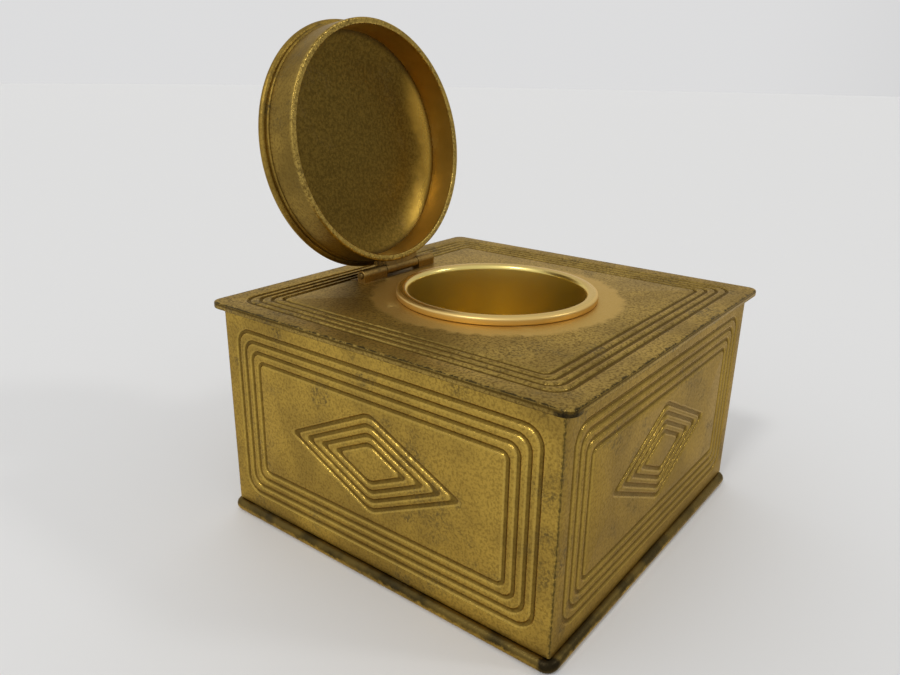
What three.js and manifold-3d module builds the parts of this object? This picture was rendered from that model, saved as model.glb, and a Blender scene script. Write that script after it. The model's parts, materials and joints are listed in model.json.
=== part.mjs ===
// Square gilt-bronze inkwell with a hinged round lid and a lift-out metal liner.
// Millimetres, +Z up. The origin is the middle of the underside of the base, the front is -Y,
// and the hinge runs along X near the back edge of the top plate. The lid stands open.

import * as THREE from 'three';
import { mergeVertices } from 'three/addons/utils/BufferGeometryUtils.js';
import Module from 'manifold-3d';

const wasm = await Module();
wasm.setup();

// ---- Driving dimensions ----

// Clearances
const fitGap = 0.3; // between pieces that are brazed, screwed or seated on each other
const linerClearance = 0.4; // liner tube to the edge of its hole, all round
const lidClearance = 4.0; // liner rim to the inside of the lid's skirt
const cutSlack = 1.0; // how far a cutting shape runs past the surface it cuts

// Case
const bodySide = 85.8; // outside of the four walls
const boxHeight = 52.1; // desk to the top of the top plate
const wallThickness = 2.5;
const plateThickness = 1.5;
const plateOverhang = 2.1;
const plateCornerRadius = 2.4;
const baseThickness = 2.7;
const baseOverhang = 1.35;
const baseCornerRadius = 2.6;
const baseEdgeRadius = 1.1;

// Cut lines: four grooves side by side in every border
const grooveCount = 4;
const grooveWidth = 0.55;
const grooveDepth = 0.45;
const grooveCornerRadius = 3.6; // outermost ring
const grooveCornerStep = 0.7; // each ring inward turns this much tighter
const wallMargin = 4.1; // edge of a wall to its outermost groove
const wallPitch = 2.15;
const plateMargin = 4.9; // edge of the top plate to its outermost groove
const platePitch = 2.0;
const lozengeClearance = 2.3; // innermost wall groove to the top of the lozenge
const lozengeAspect = 2.06; // width over height
const lozengeMiddle = 0.41; // innermost ring over outermost ring
const lozengeTipRadius = 0.9;

// Corner blocks inside the case and the screws that hold the base to them
const blockSide = 8.0;
const blockHeight = 12.0;
const screwRadius = 1.5;
const screwLength = 10.5;
const screwHeadRadius = 2.7;
const screwHeadHeight = 1.4;
const screwSlotWidth = 0.7;
const screwSlotDepth = 0.6;

// Liner
const linerRadius = 20.2; // inside of the cup
const linerWall = 1.1;
const linerDepth = 38.0; // top of the top plate to the outside of the cup's floor
const linerFloor = 1.4;
const linerFloorRadius = 3.0;
const rimOverhang = 1.2; // rim past the edge of the hole
const rimHeight = 1.85; // above the top plate
const rimSideHeight = 0.8; // straight part of the rim's outer side

// Lid
const skirtWall = 1.5;
const skirtHeight = 7.4;
const skirtLipRadius = 0.3;
const lidBeadHeight = 0.8; // small bead under the flange
const lidBeadOverhang = 0.5;
const flangeHeight = 1.7;
const flangeOverhang = 1.25; // flange past the skirt
const domeRise = 2.2;
const domeSlope = 5.65; // flange edge in to the flat top of the dome
const dishSlope = 8.9; // skirt in to the flat of the dished underside
const dishDepth = 2.4;
const lidMargin = 1.4; // edge of the dome's flat top to the outermost ring cut in it
const lidGroovePitch = 1.9;
const lidOpenAngle = 99.7; // degrees from closed, flange close to the top plate

// Hinge
const barrelRadius = 1.25;
const boreRadius = 0.85;
const pinRadius = 0.55;
const pinProud = 0.3; // pin past the barrel at each end
const leftKnuckleLength = 8.0;
const lidKnuckleLength = 11.4;
const rightKnuckleLength = 6.0;
const hingeStandOff = 1.7; // skirt to the hinge axis
const strapHeight = 4.5;
const strapThickness = 0.8;
const leafThickness = 0.5;
const leafProud = 0.05; // leaf above the top plate
const leafReach = 3.6; // hinge axis to the back edge of the leaf
const leafLead = 1.6; // hinge axis to the front edge of the leaf

// Facets
const roundSteps = 48;
const smallRoundSteps = 16;
const arcSteps = 3;

// ---- Places that follow from them ----

const bodyHalf = bodySide / 2;
const plateHalf = bodyHalf + plateOverhang;
const baseHalf = bodyHalf + baseOverhang;
const plateTop = boxHeight;
const plateBottom = plateTop - plateThickness;
const wallBottom = baseThickness + fitGap;
const wallTop = plateBottom - fitGap;
const wallHeight = wallTop - wallBottom;
const innerHalf = bodyHalf - wallThickness;

const linerOuterRadius = linerRadius + linerWall;
const holeRadius = linerOuterRadius + linerClearance;
const rimOuterRadius = holeRadius + rimOverhang;

const skirtInnerRadius = rimOuterRadius + lidClearance;
const skirtOuterRadius = skirtInnerRadius + skirtWall;
const hingeY = skirtOuterRadius + hingeStandOff;
const hingeZ = plateTop + fitGap + barrelRadius + leafProud;
const lipDrop = hingeZ - plateTop - fitGap; // hinge axis to the plane of the lid's lip

const barrelLength = leftKnuckleLength + lidKnuckleLength + rightKnuckleLength + 2 * fitGap;
const barrelStart = -barrelLength / 2;
const lidKnuckleStart = barrelStart + leftKnuckleLength + fitGap;
const rightKnuckleStart = lidKnuckleStart + lidKnuckleLength + fitGap;

// ---- Finishes ----

const agedGilt = { color: 0xa8843c, roughness: 0.42, metalness: 1.0 };
const brightGilt = { color: 0xd9a94a, roughness: 0.28, metalness: 1.0 };
const darkBrass = { color: 0x7a5f2e, roughness: 0.5, metalness: 1.0 };

// ---- Joining and cutting ----

function toSolid(geometry) {
  const bare = geometry.clone();
  bare.deleteAttribute('normal');
  bare.deleteAttribute('uv');
  const merged = mergeVertices(bare, 1e-4);
  return new wasm.Manifold(new wasm.Mesh({
    numProp: 3,
    vertProperties: new Float32Array(merged.attributes.position.array),
    triVerts: new Uint32Array(merged.index.array),
  }));
}

function toGeometry(solid) {
  const data = solid.getMesh();
  const geometry = new THREE.BufferGeometry();
  geometry.setAttribute('position', new THREE.BufferAttribute(new Float32Array(data.vertProperties), 3));
  geometry.setIndex(new THREE.BufferAttribute(new Uint32Array(data.triVerts), 1));
  geometry.computeVertexNormals();
  return geometry;
}

function cut(geometry, tools) {
  let solid = toSolid(geometry);
  for (const tool of tools) solid = solid.subtract(toSolid(tool));
  return toGeometry(solid);
}

function join(geometries) {
  let solid = toSolid(geometries[0]);
  for (const other of geometries.slice(1)) solid = solid.add(toSolid(other));
  return toGeometry(solid);
}

function piece(name, geometry, finish) {
  const mesh = new THREE.Mesh(geometry, new THREE.MeshStandardMaterial(finish));
  mesh.name = name;
  return mesh;
}

// ---- Outlines ----

// Closed polygon whose corners are rounded by arcs of the given radius.
function roundedOutline(corners, radius) {
  const points = [];
  corners.forEach((corner, i) => {
    const before = corners[(i + corners.length - 1) % corners.length];
    const after = corners[(i + 1) % corners.length];
    const toBefore = before.clone().sub(corner).normalize();
    const toAfter = after.clone().sub(corner).normalize();
    const halfAngle = Math.acos(toBefore.dot(toAfter)) / 2;
    const reach = radius / Math.tan(halfAngle);
    const bisector = toBefore.clone().add(toAfter).normalize();
    const centre = corner.clone().addScaledVector(bisector, radius / Math.sin(halfAngle));
    const first = corner.clone().addScaledVector(toBefore, reach).sub(centre).angle();
    const turn = Math.PI - 2 * halfAngle;
    for (let step = 0; step <= arcSteps; step += 1) {
      const angle = first + (turn * step) / arcSteps;
      points.push(new THREE.Vector2(
        centre.x + radius * Math.cos(angle),
        centre.y + radius * Math.sin(angle),
      ));
    }
  });
  return points;
}

function rectangleCorners(halfWidth, halfHeight) {
  return [
    new THREE.Vector2(halfWidth, halfHeight),
    new THREE.Vector2(-halfWidth, halfHeight),
    new THREE.Vector2(-halfWidth, -halfHeight),
    new THREE.Vector2(halfWidth, -halfHeight),
  ];
}

// Rhombus whose sides lie `outset` outside those of the rhombus with the given half sizes.
function lozengeCorners(halfWidth, halfHeight, outset) {
  const sideDistance = (halfWidth * halfHeight) / Math.hypot(halfWidth, halfHeight);
  const share = 1 + outset / sideDistance;
  return [
    new THREE.Vector2(halfWidth * share, 0),
    new THREE.Vector2(0, halfHeight * share),
    new THREE.Vector2(-halfWidth * share, 0),
    new THREE.Vector2(0, -halfHeight * share),
  ];
}

// A groove tool: the strip between two outlines, as deep as the groove and its slack.
function grooveTool(outerPoints, innerPoints) {
  const shape = new THREE.Shape(outerPoints);
  shape.holes.push(new THREE.Path(innerPoints));
  const depth = grooveDepth + cutSlack;
  return new THREE.ExtrudeGeometry(shape, { depth, bevelEnabled: false });
}

// Nested rectangular grooves, centred on the origin, cut from z = 0 downwards.
function borderTools(halfWidth, halfHeight, pitch) {
  const tools = [];
  for (let ring = 0; ring < grooveCount; ring += 1) {
    const radius = grooveCornerRadius - ring * grooveCornerStep;
    const inset = ring * pitch;
    const outer = rectangleCorners(
      halfWidth - inset + grooveWidth / 2,
      halfHeight - inset + grooveWidth / 2,
    );
    const inner = rectangleCorners(
      halfWidth - inset - grooveWidth / 2,
      halfHeight - inset - grooveWidth / 2,
    );
    const tool = grooveTool(
      roundedOutline(outer, radius + grooveWidth / 2),
      roundedOutline(inner, radius - grooveWidth / 2),
    );
    tools.push(tool.translate(0, 0, -grooveDepth));
  }
  return tools;
}

function lozengeTools(halfWidth, halfHeight) {
  const tools = [];
  for (let ring = 0; ring < grooveCount; ring += 1) {
    const size = 1 - ((1 - lozengeMiddle) * ring) / (grooveCount - 1);
    const outer = lozengeCorners(halfWidth * size, halfHeight * size, grooveWidth / 2);
    const inner = lozengeCorners(halfWidth * size, halfHeight * size, -grooveWidth / 2);
    const tool = grooveTool(
      roundedOutline(outer, lozengeTipRadius + grooveWidth / 2),
      roundedOutline(inner, lozengeTipRadius - grooveWidth / 2),
    );
    tools.push(tool.translate(0, 0, -grooveDepth));
  }
  return tools;
}

// ---- Round and straight stock ----

function turned(profile, steps = roundSteps) {
  const points = profile.map(([radius, height]) => new THREE.Vector2(radius, height));
  return new THREE.LatheGeometry(points, steps).rotateX(Math.PI / 2);
}

function rod(radius, length, steps = smallRoundSteps) {
  return new THREE.CylinderGeometry(radius, radius, length, steps).rotateX(Math.PI / 2);
}

function rodAlongX(radius, start, length) {
  const stock = new THREE.CylinderGeometry(radius, radius, length, smallRoundSteps);
  return stock.rotateZ(Math.PI / 2).translate(start + length / 2, 0, 0);
}

function bar(x0, x1, y0, y1, z0, z1) {
  const box = new THREE.BoxGeometry(x1 - x0, y1 - y0, z1 - z0);
  return box.translate((x0 + x1) / 2, (y0 + y1) / 2, (z0 + z1) / 2);
}

// ---- Case ----

// One cast wall, modelled as the front one: mitred ends, a border of grooves and a lozenge.
function wallGeometry() {
  const mitreGap = fitGap / Math.SQRT2;
  const plan = new THREE.Shape([
    new THREE.Vector2(-bodyHalf + mitreGap, -bodyHalf),
    new THREE.Vector2(bodyHalf - mitreGap, -bodyHalf),
    new THREE.Vector2(innerHalf - mitreGap, -innerHalf),
    new THREE.Vector2(-innerHalf + mitreGap, -innerHalf),
  ]);
  const slab = new THREE.ExtrudeGeometry(plan, { depth: wallHeight, bevelEnabled: false });
  slab.translate(0, 0, wallBottom);

  const borderHalfWidth = bodyHalf - wallMargin;
  const borderHalfHeight = wallHeight / 2 - wallMargin;
  const innermost = borderHalfHeight - (grooveCount - 1) * wallPitch;
  const lozengeHalfHeight = innermost - lozengeClearance;
  const tools = [
    ...borderTools(borderHalfWidth, borderHalfHeight, wallPitch),
    ...lozengeTools(lozengeHalfHeight * lozengeAspect, lozengeHalfHeight),
  ];
  for (const tool of tools) {
    tool.rotateX(Math.PI / 2).translate(0, -bodyHalf, wallBottom + wallHeight / 2);
  }
  return cut(slab, tools);
}

function addWalls(group) {
  const geometry = wallGeometry();
  ['front_wall', 'right_wall', 'back_wall', 'left_wall'].forEach((name, quarter) => {
    const wall = piece(name, geometry.clone(), agedGilt);
    wall.rotation.z = (quarter * Math.PI) / 2;
    group.add(wall);
  });
}

// Top plate with its grooved border, the liner's hole and a shallow seat for the hinge leaf.
function topPlate() {
  const outline = roundedOutline(rectangleCorners(plateHalf, plateHalf), plateCornerRadius);
  const slab = new THREE.ExtrudeGeometry(new THREE.Shape(outline), {
    depth: plateThickness,
    bevelEnabled: false,
  });
  const hole = rod(holeRadius, plateThickness + 2 * cutSlack, roundSteps);
  const leafSeat = bar(
    barrelStart - fitGap,
    -barrelStart + fitGap,
    hingeY - leafLead - fitGap,
    hingeY + leafReach + fitGap,
    plateThickness - leafThickness - fitGap,
    plateThickness + cutSlack,
  );
  const grooves = borderTools(plateHalf - plateMargin, plateHalf - plateMargin, platePitch);
  for (const tool of grooves) tool.translate(0, 0, plateThickness);
  const geometry = cut(slab, [hole.translate(0, 0, plateThickness / 2), ...grooves, leafSeat]);
  return piece('top_plate', geometry.translate(0, 0, plateBottom), agedGilt);
}

function blockCentre() {
  return innerHalf - fitGap - blockSide / 2;
}

// Base plate with a rounded edge and four countersunk screw holes.
function basePlate() {
  const half = baseHalf - baseEdgeRadius;
  const radius = baseCornerRadius - baseEdgeRadius;
  const outline = roundedOutline(rectangleCorners(half, half), radius);
  const slab = new THREE.ExtrudeGeometry(new THREE.Shape(outline), {
    depth: baseThickness - 2 * baseEdgeRadius,
    bevelThickness: baseEdgeRadius,
    bevelSize: baseEdgeRadius,
    bevelSegments: arcSteps,
  });
  slab.translate(0, 0, baseEdgeRadius);

  const sinkTop = fitGap + screwHeadHeight;
  const holeTool = turned([
    [0, -cutSlack],
    [screwHeadRadius + fitGap, -cutSlack],
    [screwHeadRadius + fitGap, fitGap],
    [screwRadius + fitGap, sinkTop + fitGap],
    [screwRadius + fitGap, baseThickness + cutSlack],
    [0, baseThickness + cutSlack],
  ], smallRoundSteps);
  const tools = cornerPlaces().map(([x, y]) => holeTool.clone().translate(x, y, 0));
  return piece('base_plate', cut(slab, tools), agedGilt);
}

function cornerPlaces() {
  const place = blockCentre();
  return [[-place, -place], [place, -place], [place, place], [-place, place]];
}

// Blocks brazed into the bottom corners of the case, and the screws that go up into them.
function addCornerFixings(group) {
  const half = blockSide / 2;
  const block = cut(
    bar(-half, half, -half, half, wallBottom, wallBottom + blockHeight),
    [rod(screwRadius + fitGap, blockHeight + 2 * cutSlack)
      .translate(0, 0, wallBottom + blockHeight / 2)],
  );
  const screw = screwGeometry();
  const names = ['front_left', 'front_right', 'back_right', 'back_left'];
  cornerPlaces().forEach(([x, y], i) => {
    group.add(piece(`${names[i]}_block`, block.clone().translate(x, y, 0), darkBrass));
    group.add(piece(`${names[i]}_screw`, screw.clone().translate(x, y, 0), darkBrass));
  });
}

// Slotted countersunk screw, its head sunk a little way into the underside of the base.
function screwGeometry() {
  const shaft = turned([
    [0, fitGap],
    [screwHeadRadius, fitGap],
    [screwRadius, fitGap + screwHeadHeight],
    [screwRadius, screwLength - screwRadius / 2],
    [screwRadius / 2, screwLength],
    [0, screwLength],
  ], smallRoundSteps);
  const halfSlot = screwSlotWidth / 2;
  const reach = screwHeadRadius + cutSlack;
  const slot = bar(-reach, reach, -halfSlot, halfSlot, fitGap - cutSlack, fitGap + screwSlotDepth);
  return cut(shaft, [slot]);
}

// ---- Liner ----

// Spun cup with a rounded floor and a thick rolled rim that rests on the top plate.
function linerCup() {
  const floor = plateTop - linerDepth;
  const rimBottom = plateTop + fitGap;
  const rimTop = plateTop + rimHeight;
  const rimSide = plateTop + rimSideHeight;
  const outer = [];
  const inner = [];
  const quarter = Math.PI / 2;
  for (let step = 0; step <= arcSteps; step += 1) {
    const angle = (quarter * step) / arcSteps;
    outer.push([
      linerOuterRadius - linerFloorRadius + linerFloorRadius * Math.sin(angle),
      floor + linerFloorRadius - linerFloorRadius * Math.cos(angle),
    ]);
    inner.push([
      linerRadius - linerFloorRadius + linerFloorRadius * Math.cos(angle),
      floor + linerFloor + linerFloorRadius - linerFloorRadius * Math.sin(angle),
    ]);
  }
  const crown = [];
  const rimSteps = 2 * arcSteps;
  const rimMiddle = (rimOuterRadius + linerRadius) / 2;
  const rimHalf = (rimOuterRadius - linerRadius) / 2;
  for (let step = 0; step <= rimSteps; step += 1) {
    const angle = (Math.PI * step) / rimSteps;
    crown.push([
      rimMiddle + rimHalf * Math.cos(angle),
      rimSide + (rimTop - rimSide) * Math.sin(angle),
    ]);
  }
  const profile = [
    [0, floor],
    ...outer,
    [linerOuterRadius, rimBottom],
    [rimOuterRadius, rimBottom],
    ...crown,
    ...inner,
    [0, floor + linerFloor],
  ];
  return piece('liner_cup', turned(profile), brightGilt);
}

// ---- Lid, drawn closed with its lip at z = 0 and its centre on the Z axis ----

function lidSkirt() {
  const lip = skirtLipRadius;
  const profile = [
    [skirtInnerRadius + lip, 0],
    [skirtOuterRadius - lip, 0],
    [skirtOuterRadius, lip],
    [skirtOuterRadius, skirtHeight],
    [skirtInnerRadius, skirtHeight],
    [skirtInnerRadius, lip],
    [skirtInnerRadius + lip, 0],
  ];
  return piece('lid_skirt', turned(profile), agedGilt);
}

// The cover: a small bead, a heavier rounded flange, a low dome and a dished underside.
function lidTop() {
  const bottom = skirtHeight + fitGap;
  const beadRadius = skirtOuterRadius + lidBeadOverhang;
  const flangeRadius = skirtOuterRadius + flangeOverhang;
  const beadTop = bottom + lidBeadHeight;
  const flangeTop = beadTop + flangeHeight;
  const domeTop = flangeTop + domeRise;
  const dishTop = bottom + dishDepth;
  const flangeHalf = flangeHeight / 2;
  const domeFlatRadius = flangeRadius - domeSlope;
  const dishFlatRadius = skirtInnerRadius - dishSlope;
  const dome = new THREE.QuadraticBezierCurve(
    new THREE.Vector2(flangeRadius - flangeHalf, flangeTop),
    new THREE.Vector2(domeFlatRadius + flangeHalf, domeTop),
    new THREE.Vector2(domeFlatRadius, domeTop),
  ).getPoints(arcSteps);
  const dish = new THREE.QuadraticBezierCurve(
    new THREE.Vector2(dishFlatRadius, dishTop),
    new THREE.Vector2((dishFlatRadius + skirtInnerRadius) / 2 + flangeHalf, dishTop),
    new THREE.Vector2(skirtInnerRadius, bottom),
  ).getPoints(2 * arcSteps);

  const rings = [];
  for (let ring = 0; ring < grooveCount; ring += 1) {
    const radius = domeFlatRadius - lidMargin - ring * lidGroovePitch;
    rings.push([radius + grooveWidth / 2, domeTop]);
    rings.push([radius, domeTop - grooveDepth]);
    rings.push([radius - grooveWidth / 2, domeTop]);
  }
  const profile = [
    [0, dishTop],
    ...dish.map((point) => [point.x, point.y]),
    [beadRadius, bottom],
    [beadRadius, beadTop],
    [flangeRadius - flangeHalf / 2, beadTop],
    [flangeRadius, beadTop + flangeHalf / 2],
    [flangeRadius, flangeTop - flangeHalf / 2],
    ...dome.map((point) => [point.x, point.y]),
    ...rings,
    [0, domeTop],
  ];
  return piece('lid_top', turned(profile), agedGilt);
}

// ---- Hinge ----

// Middle knuckle with a curved strap that is brazed to the back of the skirt.
function lidKnuckle() {
  const end = lidKnuckleStart + lidKnuckleLength;
  const strapInner = skirtOuterRadius + fitGap;
  const strapOuter = strapInner + strapThickness;
  const ring = turned([
    [strapInner, skirtLipRadius],
    [strapOuter, skirtLipRadius],
    [strapOuter, strapHeight],
    [strapInner, strapHeight],
    [strapInner, skirtLipRadius],
  ]);
  const reach = strapOuter + cutSlack;
  const span = bar(lidKnuckleStart, end, 0, reach, -cutSlack, strapHeight + cutSlack);
  const strap = toGeometry(toSolid(ring).intersect(toSolid(span)));
  const barrel = rodAlongX(barrelRadius, lidKnuckleStart, lidKnuckleLength);
  const bore = rodAlongX(boreRadius, lidKnuckleStart - cutSlack, lidKnuckleLength + 2 * cutSlack);
  barrel.translate(0, hingeY, lipDrop);
  bore.translate(0, hingeY, lipDrop);
  return piece('lid_knuckle', cut(join([strap, barrel]), [bore]), agedGilt);
}

// The fixed leaf lies in its seat in the top plate and carries the two outer knuckles.
function hingeLeaf() {
  const leafTop = hingeZ - barrelRadius - fitGap;
  const leaf = bar(
    barrelStart,
    -barrelStart,
    hingeY - leafLead,
    hingeY + leafReach,
    plateTop - leafThickness,
    leafTop,
  );
  const knuckles = [
    [barrelStart, leftKnuckleLength],
    [rightKnuckleStart, rightKnuckleLength],
  ];
  const solids = [leaf];
  for (const [start, length] of knuckles) {
    solids.push(rodAlongX(barrelRadius, start, length).translate(0, hingeY, hingeZ));
    solids.push(bar(
      start,
      start + length,
      hingeY - barrelRadius,
      hingeY + barrelRadius,
      leafTop - leafThickness / 2,
      hingeZ,
    ));
  }
  const bore = rodAlongX(boreRadius, barrelStart - cutSlack, barrelLength + 2 * cutSlack);
  bore.translate(0, hingeY, hingeZ);
  return piece('hinge_leaf', cut(join(solids), [bore]), agedGilt);
}

function hingePin() {
  const pin = rodAlongX(pinRadius, barrelStart - pinProud, barrelLength + 2 * pinProud);
  return piece('hinge_pin', pin.translate(0, hingeY, hingeZ), darkBrass);
}

// ---- Assembly ----

function lidGroup() {
  const lid = new THREE.Group();
  lid.position.set(0, hingeY, hingeZ);
  lid.rotation.x = -THREE.MathUtils.degToRad(lidOpenAngle);
  for (const mesh of [lidSkirt(), lidTop(), lidKnuckle()]) {
    mesh.position.set(0, -hingeY, -lipDrop);
    lid.add(mesh);
  }
  return lid;
}

const inkwell = new THREE.Group();
inkwell.add(basePlate());
addWalls(inkwell);
addCornerFixings(inkwell);
inkwell.add(topPlate(), linerCup(), hingeLeaf(), hingePin(), lidGroup());

export default inkwell;
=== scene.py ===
import json
import math

import bmesh
import bpy
from mathutils import Matrix, Vector


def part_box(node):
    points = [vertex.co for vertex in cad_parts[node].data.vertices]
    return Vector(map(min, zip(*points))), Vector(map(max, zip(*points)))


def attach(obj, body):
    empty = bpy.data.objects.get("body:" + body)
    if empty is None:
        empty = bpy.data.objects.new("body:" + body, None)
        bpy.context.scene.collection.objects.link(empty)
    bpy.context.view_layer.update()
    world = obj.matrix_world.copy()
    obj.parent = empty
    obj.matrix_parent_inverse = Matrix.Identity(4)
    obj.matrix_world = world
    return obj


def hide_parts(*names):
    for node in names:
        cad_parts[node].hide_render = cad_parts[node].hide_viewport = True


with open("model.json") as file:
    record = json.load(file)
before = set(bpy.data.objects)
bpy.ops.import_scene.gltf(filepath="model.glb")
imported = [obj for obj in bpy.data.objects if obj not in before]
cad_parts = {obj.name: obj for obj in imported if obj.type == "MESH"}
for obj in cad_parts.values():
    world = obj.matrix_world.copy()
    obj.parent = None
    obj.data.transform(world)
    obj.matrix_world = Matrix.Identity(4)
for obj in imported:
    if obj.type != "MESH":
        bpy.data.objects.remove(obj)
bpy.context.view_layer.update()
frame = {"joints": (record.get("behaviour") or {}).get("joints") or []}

MM = 0.001

# ---- Camera ----
# It stands close by, off the front left corner and a little above the top plate,
# and looks slightly down across the box at the open lid.
eye = Vector((-139.0, -93.8, 101.0)) * MM
eye_azimuth = math.radians(-52.416)
eye_elevation = math.radians(19.592)
eye_roll = math.radians(0.863)

back = Vector((
    math.sin(eye_azimuth) * math.cos(eye_elevation),
    -math.cos(eye_azimuth) * math.cos(eye_elevation),
    math.sin(eye_elevation),
))
level = Vector((math.cos(eye_azimuth), math.sin(eye_azimuth), 0.0))
upward = back.cross(level)
across = level * math.cos(eye_roll) + upward * math.sin(eye_roll)
upward = back.cross(across)

bpy.ops.object.camera_add()
camera = bpy.context.object
camera.name = "camera"
camera.matrix_world = Matrix.Translation(eye) @ Matrix((across, upward, back)).transposed().to_4x4()
camera.data.sensor_width = 36.0
camera.data.lens = 30.48
camera.data.clip_start = 0.005
bpy.context.scene.camera = camera

# ---- Walls ----
# Four cast plates of gilt bronze with mitred ends. Each carries four nested grooves round
# its border and four round the lozenge in the middle, chased into the casting, then gilded.
# Handling has rubbed the gilding to a sandy speckle. The grooves are brown with dirt and painted
# shade.
wall_low, wall_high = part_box("front_wall")

# The castings close the working gaps that the frame leaves at the plates and at the mitres.
seat_line = 0.25 * MM
wall_low.z -= seat_line
wall_high.z += seat_line
wall_half_width = wall_high.x
wall_half_height = (wall_high.z - wall_low.z) / 2
wall_face = -wall_low.y
wall_thickness = wall_high.y - wall_low.y
wall_middle_height = (wall_high.z + wall_low.z) / 2

mitre_gap = 0.212 * MM
joint_line = 0.05 * MM
arris = 0.35 * MM
wall_corner = 0.4 * MM
square_corner = 0.02 * MM
wall_margin = 4.1 * MM
wall_pitch = 2.15 * MM
border_corner = 3.6 * MM
border_corner_step = 0.7 * MM
least_corner = 0.3 * MM
lozenge_half_width = 22.1 * MM
lozenge_half_height = 10.75 * MM
lozenge_middle = 0.41
lozenge_corner = 1.7 * MM
corner_arc = 6

# One groove across: how far from its middle, and how deep, in millimetres
groove_section = [
    (0.80, 0.02), (0.62, 0.07), (0.47, 0.17), (0.34, 0.32), (0.19, 0.43), (0.0, 0.46),
    (-0.19, 0.43), (-0.34, 0.32), (-0.47, 0.17), (-0.62, 0.07), (-0.80, 0.02),
]
groove_count = 4

# From this depth on, a groove takes all its brown, partly dirt and partly painted shade.
full_depth = 0.4 * MM
merge_reach = 0.002 * MM
smooth_under = math.radians(35)


def nothing_selected():
    if bpy.context.object and bpy.context.object.mode == "EDIT":
        bpy.ops.object.mode_set(mode="OBJECT")
    bpy.ops.object.select_all(action="DESELECT")


def new_piece(name):
    """An empty mesh piece at the origin, in edit mode."""
    nothing_selected()
    bpy.ops.mesh.primitive_plane_add()
    piece = bpy.context.object
    piece.name = name
    piece.data.name = name
    bpy.ops.object.mode_set(mode="EDIT")
    bpy.ops.mesh.select_mode(type="VERT")
    bpy.ops.mesh.delete(type="VERT")
    return piece


def add_rectangle(half_width, half_height, height, corner):
    bpy.ops.mesh.primitive_plane_add(size=2, location=(0, 0, height))
    bpy.ops.transform.resize(value=(half_width, half_height, 1))
    bpy.ops.mesh.bevel(offset=corner, segments=corner_arc, affect="VERTICES")
    bpy.ops.mesh.delete(type="ONLY_FACE")


def add_lozenge(half_width, half_height, height, corner):
    bpy.ops.mesh.primitive_circle_add(
        vertices=4, radius=1, fill_type="NGON", location=(0, 0, height))
    bpy.ops.transform.resize(value=(half_width, half_height, 1))
    bpy.ops.mesh.bevel(offset=corner, segments=corner_arc, affect="VERTICES")
    bpy.ops.mesh.delete(type="ONLY_FACE")


def number_new_points(piece):
    """Gives the points drawn last the next ring number, and returns it."""
    mesh = bmesh.from_edit_mesh(piece.data)
    ring = mesh.verts.layers.int.get("ring") or mesh.verts.layers.int.new("ring")
    number = max(vertex[ring] for vertex in mesh.verts) + 1
    for vertex in mesh.verts:
        if vertex[ring] == 0:
            vertex[ring] = number
    return number


def select_rings(piece, *numbers):
    mesh = bmesh.from_edit_mesh(piece.data)
    ring = mesh.verts.layers.int["ring"]
    for vertex in mesh.verts:
        vertex.select = vertex[ring] in numbers
    mesh.select_flush_mode()
    bmesh.update_edit_mesh(piece.data)


def bridge_rings(piece, draw, rings):
    """Draws the rings one after another and joins each to the next. Returns their numbers."""
    numbers = []
    for ring in rings:
        draw(*ring)
        numbers.append(number_new_points(piece))
    for pair in zip(numbers, numbers[1:]):
        select_rings(piece, *pair)
        bpy.ops.mesh.bridge_edge_loops()
    return numbers


def border_rings(half_width, half_height, pitch):
    """The rings of four nested grooves in a face at height zero, from the outermost inwards."""
    rings = []
    for groove in range(groove_count):
        corner = border_corner - groove * border_corner_step
        for offset, depth in groove_section:
            out = offset * MM - groove * pitch
            rings.append((half_width + out, half_height + out, -depth * MM,
                          max(corner + offset * MM, least_corner)))
        if groove < groove_count - 1:
            out = -(groove + 0.5) * pitch
            rings.append((half_width + out, half_height + out, 0,
                          corner - border_corner_step / 2))
    return rings


def lozenge_rings(half_width, half_height):
    """The same for the lozenge, whose rings are shares of the outermost one."""
    rings = []
    side = half_width * half_height / math.hypot(half_width, half_height)

    def add(share, depth):
        corner = lozenge_corner * (0.55 + 0.45 * share)
        rings.append((half_width * share, half_height * share, -depth, corner))

    for groove in range(groove_count):
        size = 1 - (1 - lozenge_middle) * groove / (groove_count - 1)
        for offset, depth in groove_section:
            add(size + offset * MM / side, depth * MM)
        if groove < groove_count - 1:
            add(size - (1 - lozenge_middle) / (groove_count - 1) / 2, 0)
    return rings


def arris_rings(half_width, half_height, corner):
    """A worn outer edge: four rings that turn over it."""
    rings = []
    for turn in (0, 30, 60, 90):
        angle = math.radians(turn)
        inset = arris * (1 - math.cos(angle))
        rings.append((half_width - inset, half_height - inset,
                      -arris * (1 - math.sin(angle)), max(corner - inset, square_corner)))
    return rings


def finish_mesh(piece):
    """Merges the points that lie on each other, turns the faces outwards and smooths the curves."""
    if piece.mode != "EDIT":
        bpy.ops.object.mode_set(mode="EDIT")
    bpy.ops.mesh.select_all(action="SELECT")
    bpy.ops.mesh.remove_doubles(threshold=merge_reach)
    bpy.ops.mesh.normals_make_consistent(inside=False)
    bpy.ops.object.mode_set(mode="OBJECT")
    if "ring" in piece.data.attributes:
        piece.data.attributes.remove(piece.data.attributes["ring"])
    bpy.ops.object.select_all(action="DESELECT")
    piece.select_set(True)
    bpy.context.view_layer.objects.active = piece
    bpy.ops.object.shade_smooth_by_angle(angle=smooth_under)


front_wall = new_piece("front_wall_casting")
mitre_half = wall_half_width + mitre_gap - joint_line
skin = [(mitre_half - wall_thickness, wall_half_height, -wall_thickness, square_corner)]
skin += arris_rings(mitre_half, wall_half_height, wall_corner)
skin += border_rings(wall_face - wall_margin, wall_half_height - wall_margin, wall_pitch)
border = bridge_rings(front_wall, add_rectangle, skin)
lozenge = bridge_rings(front_wall, add_lozenge,
                       lozenge_rings(lozenge_half_width, lozenge_half_height))

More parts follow.
